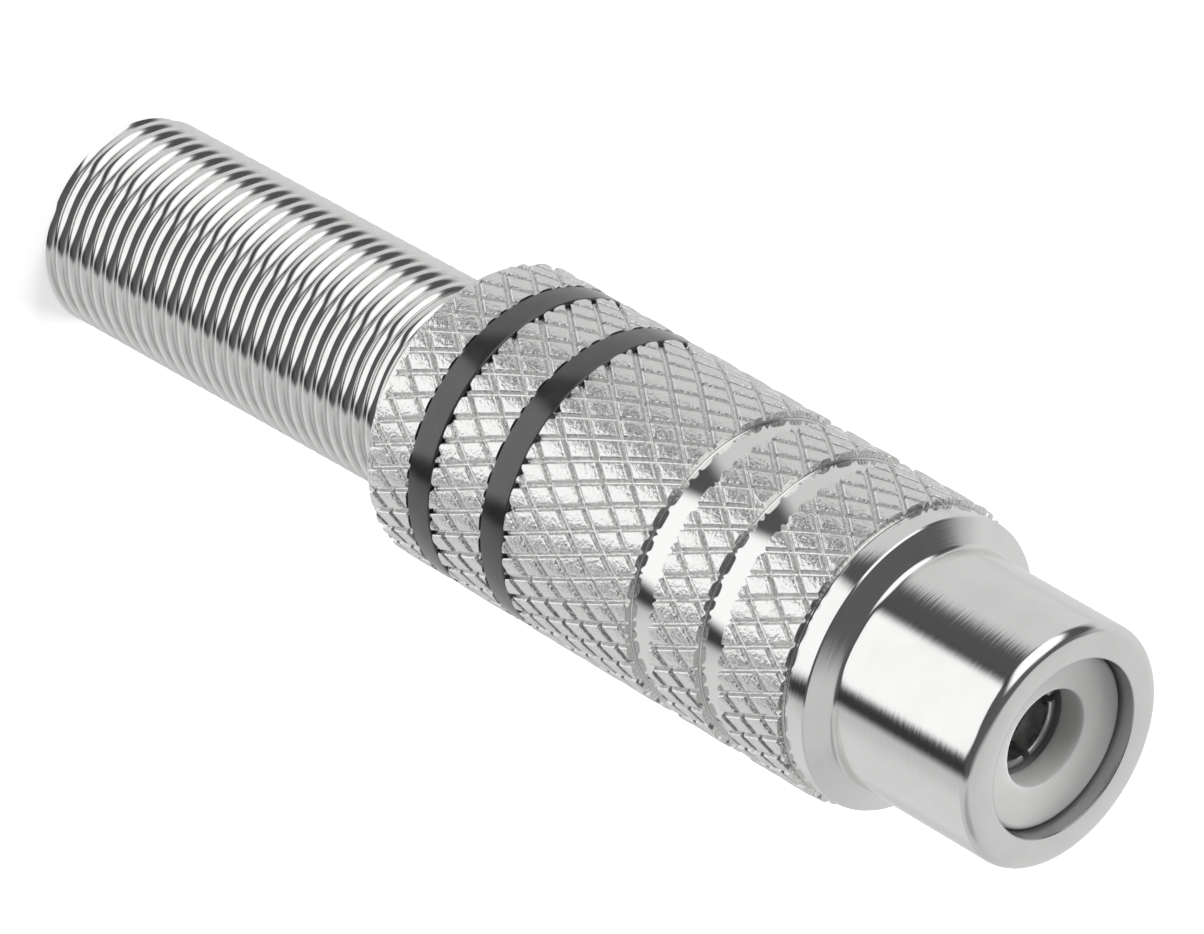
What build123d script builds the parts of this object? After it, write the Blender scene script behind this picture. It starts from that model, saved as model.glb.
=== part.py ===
from build123d import *
from math import cos, sin, pi, radians
import os

os.makedirs("parts", exist_ok=True)

# Driving dimensions in millimetres
# The connector stands on its cable end with the mouth up along +Z
# A depth is measured down from the rim of the mouth
total_length = 43.2

# Outer contact sleeve
sleeve_radius = 4.15
sleeve_bore_radius = 3.03
rim_rounding = 0.36
sleeve_length = 5.838
sleeve_root_rounding = 0.2
step_bore_radius = 3.45
step_bore_depth = 5.0

# Collar in front of the barrel
collar_radius = 5.0
collar_bevel_height = 0.442
collar_edge_break = 0.03
collar_edge_height = 0.06
collar_land_height = 0.74
collar_edge_depth = sleeve_length + collar_bevel_height
collar_land_depth = collar_edge_depth + collar_edge_height
collar_end_depth = collar_land_depth + collar_land_height

# Clearances between seated pieces
radial_clearance = 0.03
stack_clearance = 0.03
flange_seat_clearance = 0.05

# Front insulator
insulator_face_depth = 0.52
insulator_dish_depth = 0.26
guide_hole_radius = 1.657
guide_hole_length = 0.97
insulator_edge_break = 0.06
insulator_flange_thickness = 2.35
insulator_radius = sleeve_bore_radius - radial_clearance
insulator_flange_radius = step_bore_radius - radial_clearance
guide_hole_depth = insulator_face_depth + insulator_dish_depth
guide_hole_end_depth = guide_hole_depth + guide_hole_length
insulator_flange_depth = step_bore_depth + flange_seat_clearance
insulator_end_depth = insulator_flange_depth + insulator_flange_thickness

# Centre contact
contact_mouth_gap = 0.15
contact_mouth_radius = 1.6
contact_mouth_bore_radius = 1.3
contact_body_radius = 1.85
contact_bore_radius = 1.55
contact_flange_radius = 2.4
contact_flange_thickness = 0.5
tine_clearance = 0.2
tine_slot_width = 0.3
tine_length = 4.1
tine_root_length = 0.3
contact_bore_run_out = 0.9
tail_radius = 1.1
tail_length = 3.3
solder_cup_radius = 0.75
solder_cup_length = 2.6
solder_cup_cut_length = 2.2
solder_cup_cut_offset = 0.2
tine_room_radius = contact_body_radius + tine_clearance
contact_mouth_depth = guide_hole_end_depth + contact_mouth_gap
tine_slot_end_depth = contact_mouth_depth + tine_length
contact_body_depth = tine_slot_end_depth + tine_root_length
contact_bore_end_depth = contact_body_depth + contact_bore_run_out

# Rear insulator
rear_insulator_thickness = 2.74
rear_insulator_neck_radius = 1.85
rear_insulator_neck_length = 1.73
flange_recess_clearance = 0.05
tail_hole_clearance = 0.04
rear_insulator_depth = insulator_end_depth + stack_clearance
rear_insulator_end_depth = rear_insulator_depth + rear_insulator_thickness
rear_insulator_neck_end_depth = rear_insulator_end_depth + rear_insulator_neck_length
contact_flange_end_depth = rear_insulator_depth + contact_flange_thickness
flange_recess_radius = contact_flange_radius + flange_recess_clearance
flange_recess_depth = contact_flange_end_depth + stack_clearance
tail_hole_radius = tail_radius + tail_hole_clearance
tail_end_depth = rear_insulator_neck_end_depth + tail_length
solder_cup_depth = tail_end_depth - solder_cup_length
solder_cup_cut_depth = tail_end_depth - solder_cup_cut_length

# Ground tag
tag_seat_radius = 3.75
tag_front_clearance = 0.02
tag_end_clearance = 0.04
tag_hole_clearance = 0.05
tag_thickness = 0.4
tongue_radius = 3.1
tongue_width = 2.4
tongue_hole_radius = 0.6
tongue_hole_reach = 3.38
tongue_length = 7.38
cradle_length = 3.2
cradle_half_angle = 105.0
tag_seat_depth = rear_insulator_end_depth + stack_clearance
tag_ring_depth = tag_seat_depth + tag_front_clearance
tag_ring_radius = tag_seat_radius - radial_clearance
tag_ring_hole_radius = rear_insulator_neck_radius + tag_hole_clearance
tongue_hole_depth = tag_ring_depth + tongue_hole_reach
cradle_depth = tag_ring_depth + tongue_length
cradle_end_depth = cradle_depth + cradle_length

# Male thread behind the collar, drawn as its plain outside cylinder
thread_radius = 4.45
thread_relief_radius = 4.2
thread_relief_width = 0.42
thread_chamfer = 0.25
rolled_lip_height = 0.44
thread_relief_end_depth = collar_end_depth + thread_relief_width
rolled_lip_depth = tag_ring_depth + tag_thickness + tag_end_clearance
thread_end_depth = rolled_lip_depth + rolled_lip_height

# Barrel
barrel_front_clearance = 0.05
barrel_floor_radius = 4.92
thread_clearance = 0.05
thread_bore_run_out = 0.9
barrel_bore_radius = 4.4
lip_thickness = 1.8
lip_hole_clearance = 0.148
lip_hole_chamfer = 0.1
rear_land_radius = 5.05
rear_land_edge = 0.08
band_seat_radius = 4.88
band_wall = 0.28
band_bore_clearance = 0.02
band_edge_rounding = 0.07
band_end_clearance = 0.02
rear_band_front_clearance = 0.07
barrel_front_depth = collar_end_depth + barrel_front_clearance
thread_bore_radius = thread_radius + thread_clearance
thread_bore_end_depth = thread_end_depth + thread_bore_run_out
band_bore_radius = band_seat_radius + band_bore_clearance
band_radius = band_bore_radius + band_wall

# Lengths along the barrel from its front face to its cable end
front_face_land = 0.07
first_knurl_length = 2.665
groove_width = 1.05
second_knurl_length = 2.055
third_knurl_length = 5.63
front_seat_width = 1.095
fourth_knurl_length = 2.305
rear_seat_width = 1.097
last_knurl_length = 1.803
rear_land_width = 0.25
knurl_front_depth = barrel_front_depth + front_face_land
first_groove_depth = knurl_front_depth + first_knurl_length
first_groove_end_depth = first_groove_depth + groove_width
second_groove_depth = first_groove_end_depth + second_knurl_length
second_groove_end_depth = second_groove_depth + groove_width
front_seat_depth = second_groove_end_depth + third_knurl_length
front_seat_end_depth = front_seat_depth + front_seat_width
rear_seat_depth = front_seat_end_depth + fourth_knurl_length
rear_seat_end_depth = rear_seat_depth + rear_seat_width
rear_land_depth = rear_seat_end_depth + last_knurl_length
barrel_end_depth = rear_land_depth + rear_land_width
lip_depth = barrel_end_depth - lip_thickness
front_band_depth = front_seat_depth + band_end_clearance
front_band_end_depth = front_seat_end_depth - band_end_clearance
rear_band_depth = rear_seat_depth + rear_band_front_clearance
rear_band_end_depth = rear_seat_end_depth - band_end_clearance

# Diamond knurl: flat-topped tiles between crossing grooves
knurl_valley_radius = 5.02
knurl_height = 0.19
knurl_count = 34
knurl_period = 1.6
knurl_tile_share = 0.6
knurl_lead_in = 1.037
knurl_first_turn = radians(4.657)
knurl_tip_radius = knurl_valley_radius + knurl_height
knurl_first_depth = knurl_front_depth - knurl_lead_in

# Strain relief spring, its widest turns caught behind the lip
spring_radius = 3.722
spring_wire = 0.57
spring_turn_gap = 0.032
spring_start_level = -0.2
spring_start_turn = -167.0
spring_flare_clearance = 0.13
spring_flare_lead = 0.05
spring_flare_growth_turns = 1.5
spring_flare_turns = 3.5
spring_flare_points = 12
spring_pitch = spring_wire + spring_turn_gap
lip_hole_radius = spring_radius + lip_hole_clearance
spring_flare_radius = barrel_bore_radius - spring_flare_clearance
spring_flare_level = total_length - lip_depth - spring_flare_lead
spring_top_level = spring_flare_level + spring_flare_turns * spring_pitch + spring_wire / 2

# Insulating sleeve in the barrel, between the thread bore and the spring
liner_clearance = 0.1
liner_wall = 0.35
liner_front_gap = 0.3
liner_end_gap = 0.258
liner_radius = barrel_bore_radius - liner_clearance
liner_bore_radius = liner_radius - liner_wall
liner_depth = thread_bore_end_depth + liner_front_gap
liner_end_depth = total_length - spring_top_level - liner_end_gap


def level(depth):
    return total_length - depth


# Body of revolution about Z from its corners, each a radius and a depth
def turned(*corners):
    outline = [(radius, level(depth)) for radius, depth in corners]
    section = make_face(Polyline(*outline, close=True))
    return revolve(Plane.XZ * section, Axis.Z)


def tube(outer_radius, inner_radius, depth, end_depth):
    return turned(
        (inner_radius, depth),
        (outer_radius, depth),
        (outer_radius, end_depth),
        (inner_radius, end_depth),
    )


def circles_at(body, radius, depth):
    found = ShapeList()
    for edge in body.edges().filter_by(GeomType.CIRCLE):
        close_radius = abs(edge.radius - radius) < 0.001
        close_level = abs(edge.arc_center.Z - level(depth)) < 0.001
        if close_radius and close_level:
            found.append(edge)
    return found


# Front sleeve, bevelled collar and threaded tail in one turned piece
def make_socket_shell():
    body = turned(
        (sleeve_bore_radius, 0.0),
        (sleeve_radius, 0.0),
        (sleeve_radius, sleeve_length),
        (collar_radius - collar_edge_break, collar_edge_depth),
        (collar_radius, collar_land_depth),
        (collar_radius, collar_end_depth),
        (thread_relief_radius, collar_end_depth),
        (thread_relief_radius, thread_relief_end_depth),
        (thread_radius, thread_relief_end_depth + thread_chamfer),
        (thread_radius, thread_end_depth - thread_chamfer),
        (thread_radius - thread_chamfer, thread_end_depth),
        (step_bore_radius, thread_end_depth),
        (step_bore_radius, rolled_lip_depth),
        (tag_seat_radius, rolled_lip_depth),
        (tag_seat_radius, tag_seat_depth),
        (step_bore_radius, tag_seat_depth),
        (step_bore_radius, step_bore_depth),
        (sleeve_bore_radius, step_bore_depth),
    )
    body = fillet(circles_at(body, sleeve_radius, 0.0), rim_rounding)
    return fillet(circles_at(body, sleeve_radius, sleeve_length), sleeve_root_rounding)


# Dished front insulator with the guide hole for the plug pin
def make_front_insulator():
    return turned(
        (guide_hole_radius, guide_hole_depth),
        (insulator_radius - insulator_edge_break, insulator_face_depth),
        (insulator_radius, insulator_face_depth + insulator_edge_break),
        (insulator_radius, insulator_flange_depth),
        (insulator_flange_radius, insulator_flange_depth),
        (insulator_flange_radius, insulator_end_depth),
        (tine_room_radius, insulator_end_depth),
        (tine_room_radius, guide_hole_end_depth),
        (guide_hole_radius, guide_hole_end_depth),
    )


# Slotted tube with tines drawn in at the mouth, a flange and a solder cup
def make_centre_contact():
    body = turned(
        (contact_mouth_bore_radius, contact_mouth_depth),
        (contact_mouth_radius, contact_mouth_depth),
        (contact_body_radius, contact_body_depth),
        (contact_body_radius, rear_insulator_depth),
        (contact_flange_radius, rear_insulator_depth),
        (contact_flange_radius, contact_flange_end_depth),
        (tail_radius, contact_flange_end_depth),
        (tail_radius, tail_end_depth),
        (solder_cup_radius, tail_end_depth),
        (solder_cup_radius, solder_cup_depth),
        (0.0, solder_cup_depth),
        (0.0, contact_bore_end_depth),
        (contact_bore_radius, contact_bore_end_depth),
        (contact_bore_radius, contact_body_depth),
    )
    slot_length = tine_slot_end_depth
    slot_middle = tine_slot_end_depth - slot_length / 2
    for turn in (45.0, 135.0):
        slot = Box(4 * contact_body_radius, tine_slot_width, slot_length)
        body -= Pos(0, 0, level(slot_middle)) * Rot(0, 0, turn) * slot
    cut_length = 2 * (tail_end_depth - solder_cup_cut_depth)
    cut = Box(4 * tail_radius, 2 * tail_radius, cut_length)
    cut_middle = -tail_radius - solder_cup_cut_offset
    return body - Pos(0, cut_middle, level(tail_end_depth)) * cut


# Stepped washer that holds the contact flange and centres the ground tag
def make_rear_insulator():
    return turned(
        (flange_recess_radius, rear_insulator_depth),
        (insulator_flange_radius, rear_insulator_depth),
        (insulator_flange_radius, rear_insulator_end_depth),
        (rear_insulator_neck_radius, rear_insulator_end_depth),
        (rear_insulator_neck_radius, rear_insulator_neck_end_depth),
        (tail_hole_radius, rear_insulator_neck_end_depth),
        (tail_hole_radius, flange_recess_depth),
        (flange_recess_radius, flange_recess_depth),
    )


# Sheet ring with a tongue that ends in a cradle for the cable
def make_ground_tag():
    inner_radius = tongue_radius - tag_thickness
    body = tube(tag_ring_radius, tag_ring_hole_radius, tag_ring_depth, tag_ring_depth + tag_thickness)
    strip = tube(tongue_radius, inner_radius, tag_ring_depth + tag_thickness / 2, cradle_end_depth)
    side_length = 2 * (cradle_depth - tag_ring_depth)
    side_cut = Box(2 * tongue_radius, 4 * tongue_radius, side_length)
    side_offset = tongue_radius + tongue_width / 2
    for side in (-1, 1):
        strip -= Pos(side * side_offset, 0, level(tag_ring_depth)) * side_cut
    opening_level = tongue_radius * cos(radians(cradle_half_angle))
    gap = Box(4 * tongue_radius, 4 * tongue_radius, 4 * total_length)
    strip -= Pos(0, opening_level - 2 * tongue_radius, 0) * gap
    hole = Cylinder(tongue_hole_radius, 4 * tag_thickness, rotation=(90, 0, 0))
    strip -= Pos(0, tongue_radius, level(tongue_hole_depth)) * hole
    return body + strip


def polar(radius, turn, depth):
    return (radius * cos(turn), radius * sin(turn), level(depth))


def between(start, end, share):
    return tuple(a + share * (b - a) for a, b in zip(start, end))


# The part of a flat outline above or below a level
def trimmed(corners, limit, side):
    kept = []
    for start, end in zip(corners, corners[1:] + corners[:1]):
        start_gap = side * (start[2] - limit)
        end_gap = side * (end[2] - limit)
        if start_gap >= 0:
            kept.append(start)
        if start_gap * end_gap < 0:
            kept.append(between(start, end, start_gap / (start_gap - end_gap)))
    return kept


# One tile: its flat top and the four groove walls around it
def knurl_tile(turn, depth):
    half_turn = pi / knurl_count
    half_length = knurl_period / 2
    peak_radius = (knurl_tip_radius - knurl_tile_share * knurl_valley_radius) / (1 - knurl_tile_share)
    peak = polar(peak_radius, turn, depth)
    crossings = [
        polar(knurl_valley_radius, turn, depth - half_length),
        polar(knurl_valley_radius, turn + half_turn, depth),
        polar(knurl_valley_radius, turn, depth + half_length),
        polar(knurl_valley_radius, turn - half_turn, depth),
    ]
    side_radius = knurl_valley_radius * cos(half_turn)
    end_share = (peak_radius - knurl_tip_radius) / (peak_radius - knurl_valley_radius)
    side_share = (peak_radius - knurl_tip_radius) / (peak_radius - side_radius)
    shares = [end_share, side_share, end_share, side_share]
    top = [between(peak, crossing, share) for crossing, share in zip(crossings, shares)]
    outlines = [top]
    for corner in range(4):
        following = (corner + 1) % 4
        outlines.append([crossings[corner], crossings[following], top[following], top[corner]])
    return outlines


# Solid length of knurl between two depths, fused later with the turned core
def knurl_length(depth, end_depth):
    upper = level(depth)
    lower = level(end_depth)
    half_length = knurl_period / 2
    first_row = int((depth - knurl_first_depth) / half_length) - 1
    last_row = int((end_depth - knurl_first_depth) / half_length) + 2
    faces = []
    upper_rim = {}
    lower_rim = {}
    for row in range(first_row, last_row):
        row_depth = knurl_first_depth + row * half_length
        for step in range(knurl_count):
            turn = knurl_first_turn + (2 * step + row % 2) * pi / knurl_count
            for outline in knurl_tile(turn, row_depth):
                outline = trimmed(trimmed(outline, upper, -1), lower, 1)
                if len(outline) < 3:
                    continue
                faces.append(Face(Wire.make_polygon(outline, close=True)))
                for corner in outline:
                    key = round(Vector(*corner).get_angle(Vector(0, 0, 1)), 5)
                    side = (round(corner[0], 5), round(corner[1], 5), key)
                    if abs(corner[2] - upper) < 1e-7:
                        upper_rim[side] = corner
                    if abs(corner[2] - lower) < 1e-7:
                        lower_rim[side] = corner
    for rim in (upper_rim, lower_rim):
        ordered = sorted(rim.values(), key=lambda corner: Vector(corner[0], corner[1], 0).get_signed_angle(
            Vector(1, 0, 0), Vector(0, 0, 1)))
        faces.append(Face(Wire.make_polygon(ordered, close=True)))
    return Solid(Shell(faces))


# Knurled barrel with two polished grooves, two band seats and a rear lip
def make_barrel():
    body = turned(
        (0.0, barrel_front_depth),
        (barrel_floor_radius, barrel_front_depth),
        (barrel_floor_radius, front_seat_depth),
        (band_seat_radius, front_seat_depth),
        (band_seat_radius, front_seat_end_depth),
        (barrel_floor_radius, front_seat_end_depth),
        (barrel_floor_radius, rear_seat_depth),
        (band_seat_radius, rear_seat_depth),
        (band_seat_radius, rear_seat_end_depth),
        (barrel_floor_radius, rear_seat_end_depth),
        (barrel_floor_radius, rear_land_depth),
        (rear_land_radius, rear_land_depth),
        (rear_land_radius, barrel_end_depth - rear_land_edge),
        (rear_land_radius - rear_land_edge, barrel_end_depth),
        (0.0, barrel_end_depth),
    )
    lengths = [
        knurl_length(knurl_front_depth, first_groove_depth),
        knurl_length(first_groove_end_depth, second_groove_depth),
        knurl_length(second_groove_end_depth, front_seat_depth),
        knurl_length(front_seat_end_depth, rear_seat_depth),
        knurl_length(rear_seat_end_depth, rear_land_depth),
    ]
    body = body.fuse(*lengths)
    bore = turned(
        (0.0, 0.0),
        (thread_bore_radius, 0.0),
        (thread_bore_radius, thread_bore_end_depth),
        (barrel_bore_radius, thread_bore_end_depth),
        (barrel_bore_radius, lip_depth),
        (lip_hole_radius, lip_depth),
        (lip_hole_radius, barrel_end_depth - lip_hole_chamfer),
        (lip_hole_radius + lip_hole_chamfer, barrel_end_depth),
        (lip_hole_radius + lip_hole_chamfer, barrel_end_depth + lip_thickness),
        (0.0, barrel_end_depth + lip_thickness),
    )
    return body - bore


def make_band(depth, end_depth):
    body = tube(band_radius, band_bore_radius, depth, end_depth)
    edges = circles_at(body, band_radius, depth) + circles_at(body, band_radius, end_depth)
    return fillet(edges, band_edge_rounding)


def make_insulating_sleeve():
    return tube(liner_radius, liner_bore_radius, liner_depth, liner_end_depth)


# Close-wound spring, ground flat at the cable end, with wide turns held behind the lip
def make_strain_relief_spring():
    coil_radius = spring_radius - spring_wire / 2
    flare_radius = spring_flare_radius - spring_wire / 2
    straight_height = spring_flare_level - spring_start_level
    straight = Helix(pitch=spring_pitch, height=straight_height, radius=coil_radius)
    straight = Pos(0, 0, spring_start_level) * straight
    start_turns = straight_height / spring_pitch
    points = []
    for step in range(int(spring_flare_turns * spring_flare_points) + 1):
        turns = step / spring_flare_points
        growth = min(turns / spring_flare_growth_turns, 1.0)
        radius = coil_radius + (flare_radius - coil_radius) * growth * growth * (3 - 2 * growth)
        angle = 2 * pi * (start_turns + turns)
        height = spring_flare_level + spring_pitch * turns
        points.append((radius * cos(angle), radius * sin(angle), height))
    end_tangent = Vector(-sin(angle), cos(angle), 0)
    flare = Spline(*points, tangents=(straight % 1, end_tangent), tangent_scalars=(0.5, 0.5))
    path = Wire([*straight.edges(), *flare.edges()])
    section = Plane(path @ 0, z_dir=path % 0) * Circle(spring_wire / 2)
    wire = sweep(section, path=path, is_frenet=True)
    ground = Pos(0, 0, -spring_radius) * Box(4 * spring_radius, 4 * spring_radius, 2 * spring_radius)
    return Rot(0, 0, spring_start_turn) * (wire - ground)


sub_parts = {
    "socket_shell": make_socket_shell(),
    "front_insulator": make_front_insulator(),
    "centre_contact": make_centre_contact(),
    "rear_insulator": make_rear_insulator(),
    "ground_tag": make_ground_tag(),
    "barrel": make_barrel(),
    "front_band": make_band(front_band_depth, front_band_end_depth),
    "rear_band": make_band(rear_band_depth, rear_band_end_depth),
    "insulating_sleeve": make_insulating_sleeve(),
    "strain_relief_spring": make_strain_relief_spring(),
}

for name, body in sub_parts.items():
    export_step(body, f"parts/{name}.step")
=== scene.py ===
from math import cos, pi, radians, sin, sqrt, tan

import bpy
from mathutils import Matrix, Vector


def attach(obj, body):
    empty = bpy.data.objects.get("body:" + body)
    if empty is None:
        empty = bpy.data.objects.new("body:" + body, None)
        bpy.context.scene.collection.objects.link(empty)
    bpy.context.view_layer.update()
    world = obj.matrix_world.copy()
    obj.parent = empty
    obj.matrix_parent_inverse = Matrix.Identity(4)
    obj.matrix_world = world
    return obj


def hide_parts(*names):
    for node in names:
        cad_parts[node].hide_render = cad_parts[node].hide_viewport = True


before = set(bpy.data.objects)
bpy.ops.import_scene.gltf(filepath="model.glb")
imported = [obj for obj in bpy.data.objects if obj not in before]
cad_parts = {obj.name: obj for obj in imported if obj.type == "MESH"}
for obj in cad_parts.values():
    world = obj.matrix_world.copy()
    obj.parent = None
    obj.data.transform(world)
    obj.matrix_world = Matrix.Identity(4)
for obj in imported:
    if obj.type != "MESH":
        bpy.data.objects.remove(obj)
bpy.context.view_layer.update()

mm = 0.001
mergeGap = 0.002 * mm

# Depths are in millimetres down from the rim of the mouth, as in the part's source
connector = {
    "length": 43.2,
    "turnSteps": 180,
    "threadSteps": 72,
    "arcSteps": 6,
    "smoothAngle": 35,
}


# Helpers for modelling


def heightAt(depth):
    return (connector["length"] - depth) * mm


def deselectAll():
    if bpy.context.object and bpy.context.object.mode != "OBJECT":
        bpy.ops.object.mode_set(mode="OBJECT")
    bpy.ops.object.select_all(action="DESELECT")


def makeActive(piece):
    deselectAll()
    piece.select_set(True)
    bpy.context.view_layer.objects.active = piece


def editAll(piece):
    makeActive(piece)
    bpy.ops.object.mode_set(mode="EDIT")
    bpy.ops.mesh.select_all(action="SELECT")


def editOpenEdges(piece):
    makeActive(piece)
    bpy.ops.object.mode_set(mode="EDIT")
    bpy.ops.mesh.select_mode(type="EDGE")
    bpy.ops.mesh.select_all(action="DESELECT")
    bpy.ops.mesh.select_non_manifold(extend=False)


def closeEdit():
    bpy.ops.object.mode_set(mode="OBJECT")


# Turns all faces outwards before edit mode is left
def closeEditOutwards():
    bpy.ops.mesh.select_all(action="SELECT")
    bpy.ops.mesh.normals_make_consistent(inside=False)
    bpy.ops.mesh.select_mode(type="VERT")
    closeEdit()


# Replaces each corner that has a rounding with a short arc
def roundedOutline(corners, arcSteps=connector["arcSteps"]):
    outline = []
    count = len(corners)
    for index, corner in enumerate(corners):
        here = Vector((corner[0], -corner[1]))
        rounding = corner[2] if len(corner) > 2 else 0
        if not rounding:
            outline.append(here)
            continue
        before = corners[index - 1]
        after = corners[(index + 1) % count]
        toBefore = (Vector((before[0], -before[1])) - here).normalized()
        toAfter = (Vector((after[0], -after[1])) - here).normalized()
        half = toBefore.angle(toAfter) / 2
        middle = (toBefore + toAfter).normalized()
        centre = here + middle * (rounding / sin(half))
        start = here + toBefore * (rounding / tan(half)) - centre
        end = here + toAfter * (rounding / tan(half)) - centre
        for step in range(arcSteps + 1):
            spoke = start.lerp(end, step / arcSteps).normalized() * rounding
            outline.append(centre + spoke)
    return outline


# Where a point of an outline lies before it is spun
def placeOf(point):
    return Vector((point.x * mm, 0, point.y * mm + heightAt(0)))


def spinSection(steps, angle):
    bpy.ops.mesh.spin(steps=steps, angle=angle, center=(0, 0, 0), axis=(0, 0, 1))
    bpy.ops.mesh.select_all(action="SELECT")
    bpy.ops.mesh.remove_doubles(threshold=mergeGap)


# Turned piece: the outline is drawn vertex by vertex and spun about the axis
def turnPiece(name, corners, closed=True, steps=connector["turnSteps"]):
    places = [placeOf(point) for point in roundedOutline(corners)]
    deselectAll()
    bpy.ops.mesh.primitive_plane_add(size=mm)
    piece = bpy.context.object
    piece.name = name
    editAll(piece)
    bpy.ops.mesh.merge(type="CENTER")
    bpy.ops.transform.translate(value=places[0])
    route = places[1:] + places[:1] if closed else places[1:]
    last = places[0]
    for place in route:
        bpy.ops.mesh.extrude_region_move(TRANSFORM_OT_translate={"value": place - last})
        last = place
    bpy.ops.mesh.select_all(action="SELECT")
    bpy.ops.mesh.remove_doubles(threshold=mergeGap)
    spinSection(steps, 2 * pi)
    closeEditOutwards()
    smoothPiece(piece)
    return piece


def smoothPiece(piece, angle=connector["smoothAngle"]):
    makeActive(piece)
    bpy.ops.object.shade_smooth_by_angle(angle=radians(angle))


def joinPieces(name, pieces):
    makeActive(pieces[0])
    for piece in pieces:
        piece.select_set(True)
    bpy.ops.object.join()
    joined = bpy.context.object
    joined.name = name
    return joined


# Turns or shifts a piece and writes that into its mesh
def movePiece(piece, motion):
    piece.matrix_world = motion
    makeActive(piece)
    bpy.ops.object.transform_apply(location=True, rotation=True, scale=True)


def cutFlat(piece, height, keepAbove, fill=True):
    editAll(piece)
    bpy.ops.mesh.bisect(
        plane_co=(0, 0, height), plane_no=(0, 0, 1), use_fill=fill,
        clear_inner=keepAbove, clear_outer=not keepAbove, threshold=mergeGap / 10)
    closeEdit()


# Fills open ends with a face
def closeLooseEnds(piece):
    editOpenEdges(piece)
    bpy.ops.mesh.fill_holes(sides=0)
    closeEditOutwards()


# Winds a section about the axis, turn after turn
def screwSection(piece, turns, pitch, steps):
    makeActive(piece)
    screw = piece.modifiers.new("turns", "SCREW")
    screw.axis = "Z"
    screw.angle = 2 * pi
    screw.iterations = turns
    screw.screw_offset = pitch * mm
    screw.steps = steps
    screw.render_steps = steps
    bpy.ops.object.modifier_apply(modifier="turns")


# Thread ridge: one flat-topped section, wound about the axis
def threadRidge(name, settings):
    deselectAll()
    bpy.ops.mesh.primitive_circle_add(vertices=4, radius=mm, fill_type="NOTHING")
    piece = bpy.context.object
    piece.name = name
    root, crest = settings["rootRadius"], settings["crestRadius"]
    half, crestHalf = settings["rootWidth"] / 2, settings["crestWidth"] / 2
    low = heightAt(settings["endDepth"])
    section = [(root, -half), (crest, -crestHalf), (crest, crestHalf), (root, half)]
    for vertex, place in zip(piece.data.vertices, section):
        vertex.co = (place[0] * mm, 0, place[1] * mm + low)
    screwSection(piece, settings["turns"], settings["pitch"], connector["threadSteps"])
    closeLooseEnds(piece)
    smoothPiece(piece)
    return piece


# Helpers for materials


def colour(hexCode):
    channels = []
    for start in (1, 3, 5):
        value = int(hexCode[start:start + 2], 16) / 255
        channels.append(value / 12.92 if value <= 0.04045 else ((value + 0.055) / 1.055) ** 2.4)
    return (*channels, 1.0)


# An input is given a plain value or the output of another node
def addNode(tree, kind, settings=None, inputs=None):
    node = tree.nodes.new(kind)
    for key, value in (settings or {}).items():
        setattr(node, key, value)
    for key, value in (inputs or {}).items():
        if isinstance(value, bpy.types.NodeSocket):
            tree.links.new(value, node.inputs[key])
        else:
            node.inputs[key].default_value = value
    return node


def startMaterial(name):
    material = bpy.data.materials.new(name)
    material.use_nodes = True
    tree = material.node_tree
    shader = tree.nodes["Principled BSDF"]
    place = addNode(tree, "ShaderNodeTexCoord").outputs["Object"]
    return material, tree, shader, place


def distanceFromAxis(tree, place):
    flat = addNode(tree, "ShaderNodeVectorMath", {"operation": "MULTIPLY"}, {0: place, 1: (1, 1, 0)})
    length = addNode(tree, "ShaderNodeVectorMath", {"operation": "LENGTH"}, {0: flat.outputs[0]})
    return length.outputs["Value"]


# One pattern blends the colour into its shade, and another varies the roughness and the relief
def varySurface(tree, shader, shading, grain, settings):
    share = addNode(tree, "ShaderNodeMapRange", None, {
        "Value": shading,
        "From Min": settings["shadeSpan"][0],
        "From Max": settings["shadeSpan"][1],
        "To Max": settings["shadeMost"],
    })
    tone = addNode(tree, "ShaderNodeMix", {"data_type": "RGBA"}, {
        0: share.outputs[0], 6: colour(settings["colour"]), 7: colour(settings["shade"])})
    rough = addNode(tree, "ShaderNodeMapRange", None, {
        "Value": grain,
        "From Min": settings["grainSpan"][0],
        "From Max": settings["grainSpan"][1],
        "To Min": settings["roughness"] * settings["roughnessSpread"][0],
        "To Max": settings["roughness"] * settings["roughnessSpread"][1],
    })
    bump = addNode(tree, "ShaderNodeBump", None, {
        "Height": grain,
        "Strength": settings["reliefStrength"],
        "Distance": settings["reliefHeight"] * mm,
    })
    tree.links.new(tone.outputs[2], shader.inputs["Base Color"])
    tree.links.new(rough.outputs[0], shader.inputs["Roughness"])
    tree.links.new(bump.outputs[0], shader.inputs["Normal"])
    return tone.outputs[2]


def giveMaterial(piece, material):
    piece.data.materials.clear()
    piece.data.materials.append(material)


# Turned and nickel-plated brass: the tool leaves fine rings that spread a highlight along the axis
# Real ones are about half as wide, and these are drawn as coarse as they need to show
turnedNickel = {
    "colour": "#E6E6E5",
    "shade": "#DCDCDB",
    "shadeSize": 1.111,
    "shadeSpan": (0.35, 0.8),
    "shadeMost": 0.6,
    "ringSpacing": 0.075,
    "waveLength": 2.6,
    "grainSpan": (0.3, 0.7),
    "roughness": 0.08,
    "roughnessSpread": (0.8, 1.25),
    "reliefStrength": 1.0,
    "reliefHeight": 0.006,
    # The bore inside the mouth is given a darker colour as painted shade
    "boreRadius": 3.08,
    "boreShadeFade": 0.03,
    "boreShadeColour": "#BBBBBB",
}


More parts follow.
